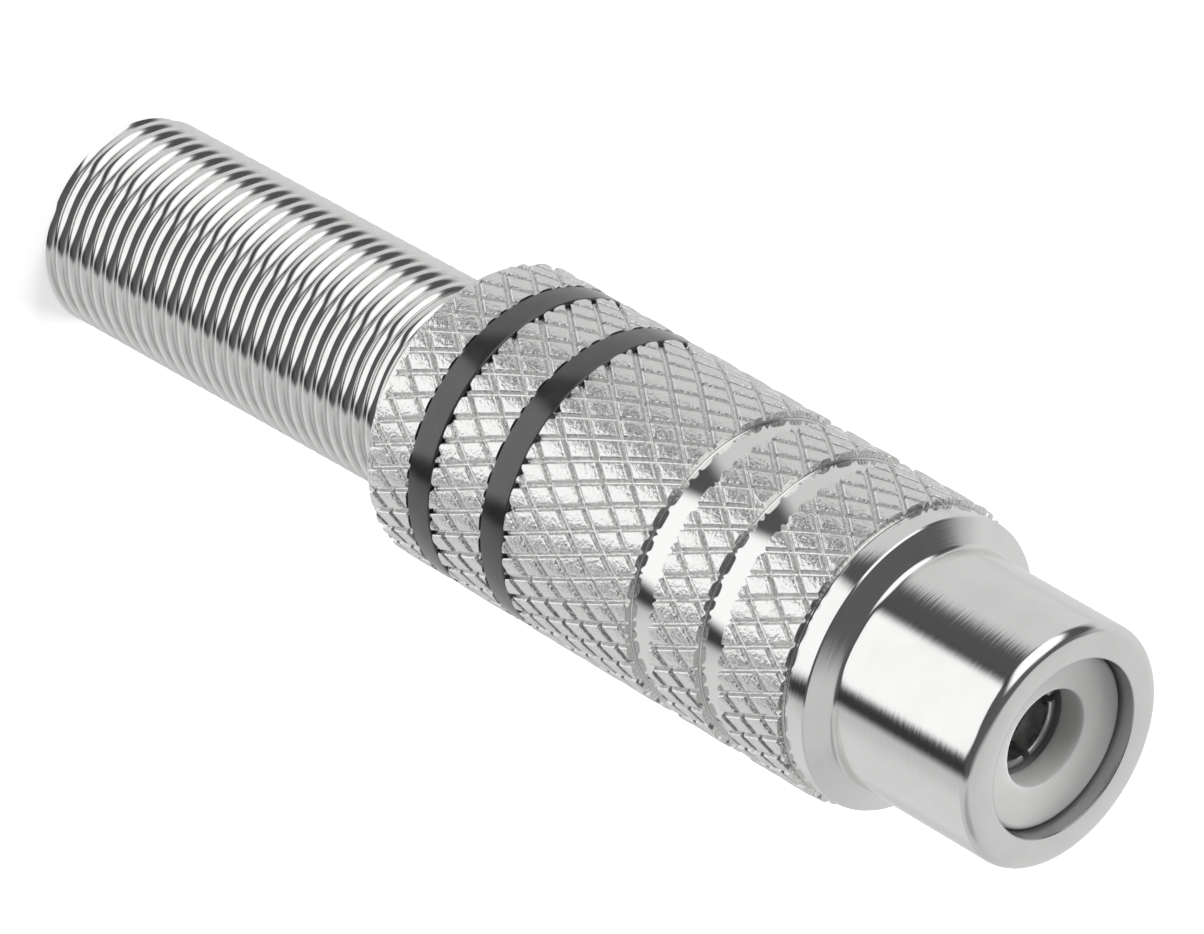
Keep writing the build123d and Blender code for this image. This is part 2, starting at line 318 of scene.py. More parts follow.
def makeTurnedNickel(settings):
    material, tree, shader, place = startMaterial("nickelPlateOverTurnedBrass")
    shader.inputs["Metallic"].default_value = 1.0
    alongScale = 1 / (settings["ringSpacing"] * mm)
    aroundScale = 1 / (settings["waveLength"] * mm)
    stretched = addNode(tree, "ShaderNodeMapping", None, {
        "Vector": place, "Scale": (aroundScale, aroundScale, alongScale)})
    rings = addNode(tree, "ShaderNodeTexNoise", None, {
        "Vector": stretched.outputs[0], "Scale": 1.0, "Detail": 3.0, "Roughness": 0.6})
    cloud = addNode(tree, "ShaderNodeTexNoise", None, {
        "Vector": place, "Scale": 1 / (settings["shadeSize"] * mm), "Detail": 2.0})
    tone = varySurface(tree, shader, cloud.outputs[0], rings.outputs[0], settings)
    # Painted shade: the bore inside the mouth gets a darker colour, which fades out at the inner edge
    # of the rim
    bore = addNode(tree, "ShaderNodeMapRange", None, {
        "Value": distanceFromAxis(tree, place),
        "From Min": settings["boreRadius"] * mm,
        "From Max": (settings["boreRadius"] - settings["boreShadeFade"]) * mm,
    })
    toneWithBoreShade = addNode(tree, "ShaderNodeMix", {"data_type": "RGBA"}, {
        0: bore.outputs[0], 6: tone, 7: colour(settings["boreShadeColour"])})
    tree.links.new(toneWithBoreShade.outputs[2], shader.inputs["Base Color"])
    return material


# Bright nickel on formed parts: nearly a mirror, with a faint haze and slight tarnish
brightNickel = {
    "colour": "#E6E6E5",
    "shade": "#D6D5D4",
    "shadeSpan": (0.45, 0.8),
    "shadeMost": 0.7,
    "hazeSize": 0.35,
    "grainSpan": (0.3, 0.75),
    "roughness": 0.12,
    "roughnessSpread": (0.7, 1.5),
    "reliefStrength": 1.0,
    "reliefHeight": 0.0004,
}


def makeBrightNickel(settings, name):
    material, tree, shader, place = startMaterial(name)
    shader.inputs["Metallic"].default_value = 1.0
    haze = addNode(tree, "ShaderNodeTexNoise", None, {
        "Vector": place, "Scale": 1 / (settings["hazeSize"] * mm), "Detail": 4.0})
    varySurface(tree, shader, haze.outputs[0], haze.outputs[0], settings)
    return material


# Rolled and nickel-plated brass: bright in the polished grooves, duller and pitted on the knurl
knurledNickel = {
    "colour": "#E6E6E5",
    "grooveRoughness": 0.1,
    "knurlRoughness": 0.21,
    "knurlFoot": 4.95,
    "knurlFade": 0.04,
    "pitSize": 0.13,
    "pitDepth": 0.04,
}


def makeKnurledNickel(settings):
    material, tree, shader, place = startMaterial("nickelPlateOverKnurledBrass")
    shader.inputs["Metallic"].default_value = 1.0
    shader.inputs["Base Color"].default_value = colour(settings["colour"])
    knurled = addNode(tree, "ShaderNodeMapRange", None, {
        "Value": distanceFromAxis(tree, place),
        "From Min": settings["knurlFoot"] * mm,
        "From Max": (settings["knurlFoot"] + settings["knurlFade"]) * mm,
    })
    pits = addNode(tree, "ShaderNodeTexNoise", None, {
        "Vector": place, "Scale": 1 / (settings["pitSize"] * mm), "Detail": 3.0, "Roughness": 0.55})
    rough = addNode(tree, "ShaderNodeMapRange", None, {
        "Value": knurled.outputs[0],
        "To Min": settings["grooveRoughness"],
        "To Max": settings["knurlRoughness"],
    })
    bump = addNode(tree, "ShaderNodeBump", None, {
        "Height": pits.outputs[0],
        "Strength": knurled.outputs[0],
        "Distance": settings["pitDepth"] * mm,
    })
    tree.links.new(rough.outputs[0], shader.inputs["Roughness"])
    tree.links.new(bump.outputs[0], shader.inputs["Normal"])
    return material


# Glossy stoving enamel on the code bands: dark, smooth, with soft ripples
bandEnamel = {
    "colour": "#2C2C2E",
    "shade": "#3A3A3C",
    "shadeSpan": (0.4, 0.75),
    "shadeMost": 0.8,
    "bend": 1.8,
    "rippleSize": 0.6,
    "grainSpan": (0.3, 0.7),
    "roughness": 0.12,
    "roughnessSpread": (0.8, 1.4),
    "reliefStrength": 1.0,
    "reliefHeight": 0.004,
}


def makeBandEnamel(settings):
    material, tree, shader, place = startMaterial("stovingEnamel")
    shader.inputs["IOR"].default_value = settings["bend"]
    ripple = addNode(tree, "ShaderNodeTexNoise", None, {
        "Vector": place, "Scale": 1 / (settings["rippleSize"] * mm), "Detail": 3.0})
    varySurface(tree, shader, ripple.outputs[0], ripple.outputs[0], settings)
    return material


# Machined polyoxymethylene: matt, off-white, faintly mottled, and light soaks a little way in
insulatorPlastic = {
    "colour": "#BFBFBE",
    "shade": "#B9B9B8",
    "shadeSpan": (0.4, 0.75),
    "shadeMost": 0.7,
    "bend": 1.48,
    "soakShare": 0.7,
    "soakDepth": 0.8,
    "mottleSize": 1.2,
    "grainSpan": (0.3, 0.7),
    "roughness": 0.5,
    "roughnessSpread": (0.85, 1.2),
    "reliefStrength": 0.5,
    "reliefHeight": 0.002,
}


def makeInsulatorPlastic(settings, name):
    material, tree, shader, place = startMaterial(name)
    shader.inputs["IOR"].default_value = settings["bend"]
    shader.inputs["Subsurface Weight"].default_value = settings["soakShare"]
    shader.inputs["Subsurface Radius"].default_value = (1, 1, 1)
    shader.inputs["Subsurface Scale"].default_value = settings["soakDepth"] * mm
    mottle = addNode(tree, "ShaderNodeTexNoise", None, {
        "Vector": place, "Scale": 1 / (settings["mottleSize"] * mm), "Detail": 5.0})
    varySurface(tree, shader, mottle.outputs[0], mottle.outputs[0], settings)
    return material


# Spring wire is drawn smooth before it is plated, so it mirrors the best of all
springNickel = {**brightNickel, "roughness": 0.07, "hazeSize": 0.5, "reliefHeight": 0.0003}
# The contact is plated as it comes from the lathe: dull, and darker where it wears
contactNickel = {**brightNickel, "colour": "#D6D6D5", "shade": "#C4C4C3", "roughness": 0.35}
# Sheet brass dipped in tin is greyer and has soft highlights
tagTin = {**brightNickel, "colour": "#C4C3C0", "roughness": 0.35}
# Extruded polyethylene is waxy and paler than the machined insulator
linerTube = {**insulatorPlastic, "colour": "#EDECE6", "shade": "#DDDCD4", "roughness": 0.38}

turnedPlate = makeTurnedNickel(turnedNickel)
barrelPlate = makeKnurledNickel(knurledNickel)
springPlate = makeBrightNickel(springNickel, "nickelPlatedSpringWire")
contactPlate = makeBrightNickel(contactNickel, "nickelPlatedContact")
tagPlate = makeBrightNickel(tagTin, "tinnedSheetBrass")
enamel = makeBandEnamel(bandEnamel)
acetal = makeInsulatorPlastic(insulatorPlastic, "machinedAcetal")
linerPlastic = makeInsulatorPlastic(linerTube, "extrudedPolyethylene")
print("materials made")


# Socket shell

shell = {
    "boreRadius": 3.03,
    "sleeveRadius": 4.15,
    "rimRounding": 0.36,
    "sleeveEnd": 5.838,
    "rootRounding": 0.2,
    "edgeRounding": 0.03,
    "collarEdgeRadius": 4.97,
    "collarEdgeDepth": 6.28,
    "collarRadius": 5.0,
    "collarLandDepth": 6.34,
    "landRounding": 0.04,
    "collarEnd": 7.08,
    "threadRoot": 4.15,
    "tagSeatRadius": 3.75,
    "tagSeatStart": 10.2,
    "tagSeatEnd": 10.66,
    "tailEnd": 11.1,
    "tailRounding": 0.1,
    "lipRadius": 3.45,
    "lipRounding": 0.05,
    "stepDepth": 5.0,
}
maleThread = {
    "rootRadius": 4.1,
    "crestRadius": 4.45,
    "rootWidth": 0.5,
    "crestWidth": 0.12,
    "endDepth": 10.75,
    "turns": 4,
    "pitch": 0.75,
}

shellBody = turnPiece("shellBody", [
    (shell["boreRadius"], 0, shell["edgeRounding"]),
    (shell["sleeveRadius"], 0, shell["rimRounding"]),
    (shell["sleeveRadius"], shell["sleeveEnd"], shell["rootRounding"]),
    (shell["collarEdgeRadius"], shell["collarEdgeDepth"], shell["edgeRounding"]),
    (shell["collarRadius"], shell["collarLandDepth"], shell["landRounding"]),
    (shell["collarRadius"], shell["collarEnd"], shell["edgeRounding"]),
    (shell["threadRoot"], shell["collarEnd"]),
    (shell["threadRoot"], shell["tailEnd"], shell["tailRounding"]),
    (shell["lipRadius"], shell["tailEnd"], shell["lipRounding"]),
    (shell["lipRadius"], shell["tagSeatEnd"]),
    (shell["tagSeatRadius"], shell["tagSeatEnd"]),
    (shell["tagSeatRadius"], shell["tagSeatStart"]),
    (shell["lipRadius"], shell["tagSeatStart"]),
    (shell["lipRadius"], shell["stepDepth"]),
    (shell["boreRadius"], shell["stepDepth"]),
])
shellThread = threadRidge("shellThread", maleThread)
socketShell = joinPieces("socketShell", [shellBody, shellThread])
giveMaterial(socketShell, turnedPlate)
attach(socketShell, "socket_side")
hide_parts("socket_shell")
print("socket shell done")


# Front insulator

insulator = {
    "holeRadius": 1.657,
    "holeDepth": 0.78,
    "holeEnd": 1.75,
    "edgeRounding": 0.05,
    "rimRadius": 3.0,
    "rimDepth": 0.51,
    "rimRounding": 0.16,
    "flangeRadius": 3.42,
    "flangeDepth": 5.05,
    "endDepth": 7.4,
    "roomRadius": 2.05,
}
frontInsulator = turnPiece("frontInsulator", [
    (insulator["holeRadius"], insulator["holeDepth"], insulator["edgeRounding"]),
    (insulator["rimRadius"], insulator["rimDepth"], insulator["rimRounding"]),
    (insulator["rimRadius"], insulator["flangeDepth"]),
    (insulator["flangeRadius"], insulator["flangeDepth"], insulator["edgeRounding"]),
    (insulator["flangeRadius"], insulator["endDepth"]),
    (insulator["roomRadius"], insulator["endDepth"]),
    (insulator["roomRadius"], insulator["holeEnd"]),
    (insulator["holeRadius"], insulator["holeEnd"]),
])
giveMaterial(frontInsulator, acetal)
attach(frontInsulator, "socket_side")
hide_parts("front_insulator")
print("front insulator done")


# Centre contact

contact = {
    "turnSteps": 96,
    "mouthDepth": 1.9,
    "mouthRadius": 1.6,
    "mouthBore": 1.3,
    "mouthRounding": 0.07,
    "bodyRadius": 1.85,
    "boreRadius": 1.55,
    "bodyDepth": 6.3,
    "boreEnd": 7.2,
    "slotEnd": 6.0,
    "slotWidth": 0.3,
    "rootTaper": 0.02,
    "ridgeDepth": 2.8,
    "ridgeHeight": 0.17,
    "ridgeHalfLength": 0.4,
    "ridgeRounding": 0.25,
    "flangeStart": 7.43,
    "flangeRadius": 2.4,
    "flangeEnd": 7.93,
    "flangeRounding": 0.04,
    "tailRadius": 1.1,
    "tailEnd": 15.2,
    "cupRadius": 0.75,
    "cupDepth": 12.6,
    "cupRounding": 0.05,
    "cupCutDepth": 13.0,
    "cupCutFromAxis": 0.2,
    "tineOverlap": 0.1,
    "tineArcSteps": 3,
    "tineSpinSteps": 14,
}


# Radius between the mouth and the root of the tines, which taper evenly
def taperedRadius(depth, atMouth, atRoot):
    share = (depth - contact["mouthDepth"]) / (contact["bodyDepth"] - contact["mouthDepth"])
    return atMouth + share * (atRoot - atMouth)


def innerRadiusAt(depth):
    return taperedRadius(depth, contact["mouthBore"], contact["boreRadius"])


# One tine: an arc of the tube between two slots, with a low ridge inside that grips the pin
def makeTine(turn):
    mouth, slotEnd, ridge = contact["mouthDepth"], contact["slotEnd"], contact["ridgeDepth"]
    root = slotEnd + contact["tineOverlap"]
    outerAtSlot = taperedRadius(slotEnd, contact["mouthRadius"], contact["bodyRadius"])
    ridgeEnd = ridge + contact["ridgeHalfLength"]
    ridgeStart = ridge - contact["ridgeHalfLength"]
    outline = roundedOutline([
        (contact["mouthBore"], mouth, contact["mouthRounding"]),
        (contact["mouthRadius"], mouth, contact["mouthRounding"]),
        (outerAtSlot, root),
        (innerRadiusAt(slotEnd), root),
        (innerRadiusAt(ridgeEnd), ridgeEnd),
        (innerRadiusAt(ridge) - contact["ridgeHeight"], ridge, contact["ridgeRounding"]),
        (innerRadiusAt(ridgeStart), ridgeStart),
    ], contact["tineArcSteps"])
    deselectAll()
    bpy.ops.mesh.primitive_circle_add(vertices=len(outline), radius=mm, fill_type="NGON")
    tine = bpy.context.object
    for vertex, point in zip(tine.data.vertices, outline):
        vertex.co = placeOf(point)
    gap = contact["slotWidth"] / (contact["mouthRadius"] + contact["mouthBore"]) * 2
    editAll(tine)
    spinSection(contact["tineSpinSteps"], pi / 2 - gap)
    closeEdit()
    closeLooseEnds(tine)
    movePiece(tine, Matrix.Rotation(turn + gap / 2, 4, "Z"))
    smoothPiece(tine)
    return tine


contactBody = turnPiece("contactBody", [
    (0.0, contact["boreEnd"]),
    (contact["boreRadius"], contact["boreEnd"]),
    (contact["boreRadius"], contact["bodyDepth"]),
    (contact["boreRadius"] - contact["rootTaper"], contact["slotEnd"]),
    (contact["bodyRadius"] - contact["rootTaper"], contact["slotEnd"]),
    (contact["bodyRadius"], contact["bodyDepth"]),
    (contact["bodyRadius"], contact["flangeStart"]),
    (contact["flangeRadius"], contact["flangeStart"], contact["flangeRounding"]),
    (contact["flangeRadius"], contact["flangeEnd"], contact["flangeRounding"]),
    (contact["tailRadius"], contact["flangeEnd"]),
    (contact["tailRadius"], contact["tailEnd"], contact["cupRounding"]),
    (contact["cupRadius"], contact["tailEnd"], contact["cupRounding"]),
    (contact["cupRadius"], contact["cupDepth"]),
    (0.0, contact["cupDepth"]),
], closed=False, steps=contact["turnSteps"])


# The side of the solder cup is cut away for the wire
def cutCup():
    size = 2 * contact["tailRadius"]
    length = 2 * (contact["tailEnd"] - contact["cupCutDepth"])
    middle = -(contact["tailRadius"] + contact["cupCutFromAxis"]) * mm
    deselectAll()
    bpy.ops.mesh.primitive_cube_add(size=mm, location=(0, middle, heightAt(contact["tailEnd"])))
    cutter = bpy.context.object
    cutter.scale = (2 * size, size, length)
    bpy.ops.object.transform_apply(location=False, rotation=False, scale=True)
    makeActive(contactBody)
    cut = contactBody.modifiers.new("cup", "BOOLEAN")
    cut.object = cutter
    cut.operation = "DIFFERENCE"
    cut.solver = "EXACT"
    bpy.ops.object.modifier_apply(modifier="cup")
    bpy.data.objects.remove(cutter)
    smoothPiece(contactBody)


cutCup()
tines = [makeTine(radians(45 + 90 * quarter)) for quarter in range(4)]
centreContact = joinPieces("centreContact", [contactBody, *tines])
giveMaterial(centreContact, contactPlate)
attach(centreContact, "socket_side")
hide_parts("centre_contact")
print("centre contact done")


# Barrel

barrel = {
    "frontDepth": 7.13,
    "endDepth": 26.2,
    "edgeRounding": 0.03,
    "coreRadius": 4.97,
    "floorRadius": 4.92,
    "floorFrontRounding": 0.02,
    "floorRearRounding": 0.04,
    "threadBore": 4.5,
    "threadBoreEnd": 12.0,
    "boreRadius": 4.4,
    "landDepth": 25.95,
    "landRadius": 5.05,
    "landRounding": 0.08,
    "lipDepth": 24.4,
    "lipHole": 3.87,
    "lipRearRounding": 0.1,
    "lipFrontRounding": 0.05,
    "seatRadius": 4.88,
    "knurlFront": 7.2,
    "grooves": [(9.865, 10.915), (12.97, 14.02)],
    "seats": [(19.65, 20.745), (23.05, 24.147)],
}
# The rolls cut 39 grooves one way and 28 the other; each ring is a share of the tile and its radius
knurl = {
    "valleyRadius": 5.02,
    "leftHand": {"count": 39, "perLength": 0.573},
    "rightHand": {"count": 28, "perLength": 0.665},
    "firstDepth": -5.327,
    "firstTurn": -24.753,
    "rows": 36,
    "rings": [(0.9, 5.035), (0.79, 5.16), (0.71, 5.188), (0.55, 5.203), (0.3, 5.21)],
    "footShare": 0.93,
    "smoothAngle": 24,
}
femaleThread = {
    "rootRadius": 4.56,
    "crestRadius": 4.22,
    "rootWidth": 0.24,
    "crestWidth": 0.05,
    "endDepth": 11.125,
    "turns": 5,
    "pitch": 0.75,
}


# Turn and depth from one tile to the next across a groove of each hand
def knurlSteps():
    left, right = knurl["leftHand"], knurl["rightHand"]
    cell = left["count"] * right["perLength"] + right["count"] * left["perLength"]
    acrossLeft = Vector((360 * right["perLength"], -right["count"])) / cell
    acrossRight = Vector((360 * left["perLength"], left["count"])) / cell
    return acrossLeft, acrossRight


# One knurl tile, raised ring by ring from its slanted base, which is then left open
def makeTile():
    acrossLeft, acrossRight = knurlSteps()
    radius = knurl["valleyRadius"]
    side = (acrossLeft + acrossRight) / 2
    end = (acrossRight - acrossLeft) / 2
    corners = []
    for turn, depth in (-end, -side, end, side):
        corners.append((radius * cos(radians(turn)), radius * sin(radians(turn)), -depth))
    deselectAll()
    bpy.ops.mesh.primitive_circle_add(vertices=4, radius=mm, fill_type="NGON")
    tile = bpy.context.object
    for vertex, corner in zip(tile.data.vertices, corners):
        vertex.co = Vector(corner) * mm
    editAll(tile)
    lastShare = 1.0
    for share, height in knurl["rings"]:
        shrink = share / lastShare
        bpy.ops.mesh.extrude_region_move(TRANSFORM_OT_translate={"value": (0, 0, 0)})
        bpy.ops.transform.resize(value=(1, shrink, shrink), center_override=(0, 0, 0))
        closeEdit()
        for vertex in tile.data.vertices:
            if vertex.select:
                vertex.co.x = sqrt((height * mm) ** 2 - vertex.co.y ** 2)
        bpy.ops.object.mode_set(mode="EDIT")
        lastShare = share
    bpy.ops.mesh.select_mode(type="FACE")
    bpy.ops.mesh.select_all(action="DESELECT")
    closeEdit()
    vertices = tile.data.vertices
    for polygon in tile.data.polygons:
        polygon.select = all(vertices[i].co.x < radius * mm + mergeGap / 2 for i in polygon.vertices)
    bpy.ops.object.mode_set(mode="EDIT")
    bpy.ops.mesh.delete(type="ONLY_FACE")
    bpy.ops.mesh.select_mode(type="VERT")
    closeEdit()
    return tile


def screwMotion(turn, depth):
    return Matrix.Translation((0, 0, -depth * mm)) @ Matrix.Rotation(radians(turn), 4, "Z")


# Repeats the tile by one step round and along the barrel, again and again
def repeatTile(tile, step, count):
    deselectAll()
    bpy.ops.object.empty_add()
    guide = bpy.context.object
    guide.matrix_world = screwMotion(*step)
    rows = tile.modifiers.new("rows", "ARRAY")
    rows.use_relative_offset = False
    rows.use_object_offset = True
    rows.offset_object = guide
    rows.count = count
    makeActive(tile)
    bpy.ops.object.modifier_apply(modifier="rows")
    bpy.data.objects.remove(guide)


# The whole field of tiles: one slanting row round the barrel, repeated along it
def makeKnurlField():
    tile = makeTile()
    acrossLeft, acrossRight = knurlSteps()
    repeatTile(tile, acrossLeft + acrossRight, knurl["leftHand"]["count"])
    repeatTile(tile, acrossRight, knurl["rows"])
    first = screwMotion(knurl["firstTurn"], knurl["firstDepth"])
    movePiece(tile, Matrix.Translation((0, 0, heightAt(0))) @ first)
    editAll(tile)
    bpy.ops.mesh.remove_doubles(threshold=mergeGap)
    closeEdit()
    return tile


# A closed ring of knurl between two depths, its walls reaching into the core
def makeKnurlRing(field, depth, endDepth):
    makeActive(field)
    bpy.ops.object.duplicate()
    ring = bpy.context.object
    cutFlat(ring, heightAt(depth), keepAbove=False, fill=False)
    cutFlat(ring, heightAt(endDepth), keepAbove=True, fill=False)
    editOpenEdges(ring)
    foot = knurl["footShare"]
    bpy.ops.mesh.extrude_region_move(TRANSFORM_OT_translate={"value": (0, 0, 0)})
    bpy.ops.transform.resize(value=(foot, foot, 1.0), center_override=(0, 0, 0))
    bpy.ops.mesh.bridge_edge_loops()
    closeEditOutwards()
    smoothPiece(ring, knurl["smoothAngle"])
    return ring


core, floorRadius = barrel["coreRadius"], barrel["floorRadius"]
grooves = []
for start, end in barrel["grooves"]:
    grooves += [
        (core, start),
        (floorRadius, start, barrel["floorFrontRounding"]),
        (floorRadius, end, barrel["floorRearRounding"]),
        (core, end),
    ]
seats = []
for start, end in barrel["seats"]:
    seats += [
        (core, start),
        (barrel["seatRadius"], start),
        (barrel["seatRadius"], end),
        (core, end),
    ]
barrelCore = turnPiece("barrelCore", [
    (barrel["threadBore"], barrel["frontDepth"], barrel["edgeRounding"]),
    (core, barrel["frontDepth"], barrel["edgeRounding"]),
    *grooves,
    *seats,
    (core, barrel["landDepth"]),
    (barrel["landRadius"], barrel["landDepth"]),
    (barrel["landRadius"], barrel["endDepth"], barrel["landRounding"]),
    (barrel["lipHole"], barrel["endDepth"], barrel["lipRearRounding"]),
    (barrel["lipHole"], barrel["lipDepth"], barrel["lipFrontRounding"]),
    (barrel["boreRadius"], barrel["lipDepth"]),
    (barrel["boreRadius"], barrel["threadBoreEnd"]),
    (barrel["threadBore"], barrel["threadBoreEnd"]),
])
field = makeKnurlField()
knurledLengths = [
    (barrel["knurlFront"], barrel["grooves"][0][0]),
    (barrel["grooves"][0][1], barrel["grooves"][1][0]),
    (barrel["grooves"][1][1], barrel["seats"][0][0]),
    (barrel["seats"][0][1], barrel["seats"][1][0]),
    (barrel["seats"][1][1], barrel["landDepth"]),
]
knurlRings = [makeKnurlRing(field, *span) for span in knurledLengths]
bpy.data.objects.remove(field)
barrelThread = threadRidge("barrelThread", femaleThread)
barrelPiece = joinPieces("knurledBarrel", [barrelCore, *knurlRings, barrelThread])
giveMaterial(barrelPiece, barrelPlate)
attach(barrelPiece, "barrel_side")
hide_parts("barrel")
print("barrel done")


# Code bands

band = {
    "radius": 5.18,
    "bore": 4.9,
    "rounding": 0.07,
    "front": (19.67, 20.725),
    "rear": (23.12, 24.127),
}


def makeBand(name, node, span):
    ring = turnPiece(name, [
        (band["bore"], span[0]),
        (band["radius"], span[0], band["rounding"]),
        (band["radius"], span[1], band["rounding"]),
        (band["bore"], span[1]),
    ])
    giveMaterial(ring, enamel)
    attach(ring, "barrel_side")
    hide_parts(node)


makeBand("frontBand", "front_band", band["front"])
makeBand("rearBand", "rear_band", band["rear"])
print("bands done")


# Strain relief spring

spring = {
    "radius": 3.722,
    "wire": 0.59,
    "pitch": 0.602,
    "startHeight": -0.2,
    "startTurn": -167,
    "turns": 35,
    "sectionSteps": 18,
    "turnSteps": 90,
    "smoothAngle": 50,
    "flareRadius": 4.27,
    "flareHeight": 18.75,
    "flareGrowthTurns": 1.5,
    "sitHeight": 16.6,
    "sitOffset": 0.134,
    "sitFade": 2.2,
    "lean": 1.103,
}


def makeSpring():
    wireRadius = spring["wire"] / 2
    deselectAll()
    bpy.ops.mesh.primitive_circle_add(
        vertices=spring["sectionSteps"], radius=wireRadius * mm, fill_type="NOTHING",
        location=((spring["radius"] - wireRadius) * mm, 0, spring["startHeight"] * mm),
        rotation=(pi / 2, 0, 0))
    coil = bpy.context.object
    coil.name = "reliefSpring"
    bpy.ops.object.transform_apply(location=True, rotation=True, scale=True)
    screwSection(coil, spring["turns"], spring["pitch"], spring["turnSteps"])
    widenFlare(coil)
    closeLooseEnds(coil)
    cutFlat(coil, 0, keepAbove=True)
    movePiece(coil, Matrix.Rotation(radians(spring["startTurn"]), 4, "Z"))
    settleSpring(coil)
    smoothPiece(coil, spring["smoothAngle"])
    return coil


# The last turns, inside the barrel, grow wider, so that they catch behind its lip
def widenFlare(coil):
    growth = spring["flareRadius"] - spring["radius"]
    growthHeight = spring["pitch"] * spring["flareGrowthTurns"]
    for index, vertex in enumerate(coil.data.vertices):
        turn = (index // spring["sectionSteps"]) / spring["turnSteps"]
        height = spring["startHeight"] + spring["pitch"] * turn
        share = min(max((height - spring["flareHeight"]) / growthHeight, 0), 1)
        flat = Vector((vertex.co.x, vertex.co.y, 0))
        vertex.co += flat.normalized() * growth * mm * share * share * (3 - 2 * share)


# The spring sits loose in the lip and leans a little to one side
def settleSpring(coil):
    slope = tan(radians(spring["lean"]))
    top = spring["sitHeight"] * mm
    for vertex in coil.data.vertices:
        below = max(top - vertex.co.z, 0)
        above = max(vertex.co.z - top, 0)
        ease = max(1 - above / (spring["sitFade"] * mm), 0)
        vertex.co.x += spring["sitOffset"] * mm * ease + slope * below


reliefSpring = makeSpring()
giveMaterial(reliefSpring, springPlate)
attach(reliefSpring, "cable_side")
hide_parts("strain_relief_spring")
print("spring done")


# Pieces that can't be seen keep the shape of their CAD node

giveMaterial(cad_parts["rear_insulator"], acetal)
giveMaterial(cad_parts["ground_tag"], tagPlate)
giveMaterial(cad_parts["insulating_sleeve"], linerPlastic)
print("hidden pieces done")


# Floor, surroundings and lamps

studio = {
    "floorSize": 3.0,
    "floorColour": "#F4F4F4",
    "floorRoughness": 0.9,
    "floorGlow": 0.42,
    "plainLight": 0.48,
    "roomLow": 0.1,
    "roomHigh": 0.125,
    "roomSpan": (-0.2, 1.0),
    "lampSize": 0.25,
    "lampAim": (0, 0, 0.02),
}
white = (1, 1, 1, 1)
black = (0, 0, 0, 1)


# The paper glows for the camera alone, so that it looks white and still takes the shadow
def makeFloor():
    deselectAll()
    bpy.ops.mesh.primitive_plane_add(size=studio["floorSize"])
    floor = bpy.context.object
    floor.name = "floor"
    material, tree, shader = startMaterial("palePaper")[:3]
    shader.inputs["Base Color"].default_value = colour(studio["floorColour"])
    shader.inputs["Roughness"].default_value = studio["floorRoughness"]
    shader.inputs["Specular IOR Level"].default_value = 0.0
    rays = addNode(tree, "ShaderNodeLightPath")
    glow = addNode(tree, "ShaderNodeEmission", None, {"Color": white, "Strength": studio["floorGlow"]})
    dark = addNode(tree, "ShaderNodeEmission", None, {"Color": black, "Strength": 0.0})
    glowForCamera = addNode(tree, "ShaderNodeMixShader", None, {
        0: rays.outputs["Is Camera Ray"], 1: dark.outputs[0], 2: glow.outputs[0]})
    together = addNode(tree, "ShaderNodeAddShader", None, {
        0: shader.outputs[0], 1: glowForCamera.outputs[0]})
    tree.links.new(together.outputs[0], tree.nodes["Material Output"].inputs["Surface"])
    giveMaterial(floor, material)
    floor.visible_glossy = False


makeFloor()

# What the bright metal mirrors: white cloth boxes and pale paper in a dark room
# Each panel is a soft-edged rounded field on the sky, turned and raised in degrees,
# with half its width and height, and lies over the panels above it in this list
softPanel = {"roll": 0, "round": 2, "soft": 0.5}
panels = {
    "sideWall": {"turn": 178, "rise": -40, "size": (31, 29), "glow": 0.74,
                 "roll": 10, "round": 2.6, "soft": 0.2},
    "paperBelow": {"turn": 0, "rise": -90, "size": (27, 27), "glow": 0.93},
    "frontBox": {"turn": -72.6, "rise": -50, "size": (30, 47), "glow": 1.2,
                 "roll": 16, "round": 5, "soft": 0.1},
    "frontGap": {"turn": -114, "rise": 2, "size": (6, 34), "glow": 0.07},
    "keyBox": {"turn": -147, "rise": 23, "size": (29, 38), "glow": 1.3, "round": 2.8, "soft": 0.2},
    "tableEdge": {"turn": 73, "rise": -11, "size": (106, 51), "glow": 0.045,
                  "roll": 23, "round": 2.7, "soft": 0.07},
    "table": {"turn": 54, "rise": -2, "size": (81, 69), "glow": 0.63,
              "roll": -12, "round": 2.4, "soft": 0.05},
    "tableGlow": {"turn": 116, "rise": -2, "size": (52, 43), "glow": 0.78, "round": 3, "soft": 0.45},
    "rightGap": {"turn": 167, "rise": 22.7, "size": (12, 30), "glow": 0.1, "roll": 24, "soft": 0.45},
    "tableNear": {"turn": 19, "rise": -44, "size": (25, 28), "glow": 0.78, "soft": 0.3},
    "tableShade": {"turn": 10, "rise": 28, "size": (23, 19), "glow": 0.44, "soft": 0.35},
    "tableTop": {"turn": 32, "rise": 60, "size": (36, 20), "glow": 0.67},
}


# How far a direction lies along one axis of the panel, as a share of its half size
def panelShare(tree, ray, axis, stretch, halfSize):
    along = addNode(tree, "ShaderNodeVectorMath", {"operation": "DOT_PRODUCT"}, {0: ray, 1: axis})
    offset = addNode(tree, "ShaderNodeMath", {"operation": "MULTIPLY"}, {
        0: along.outputs["Value"], 1: stretch})
    distance = addNode(tree, "ShaderNodeMath", {"operation": "ABSOLUTE"}, {0: offset.outputs[0]})
    share = addNode(tree, "ShaderNodeMath", {"operation": "DIVIDE"}, {
        0: distance.outputs[0], 1: radians(halfSize)})
    return share.outputs[0]


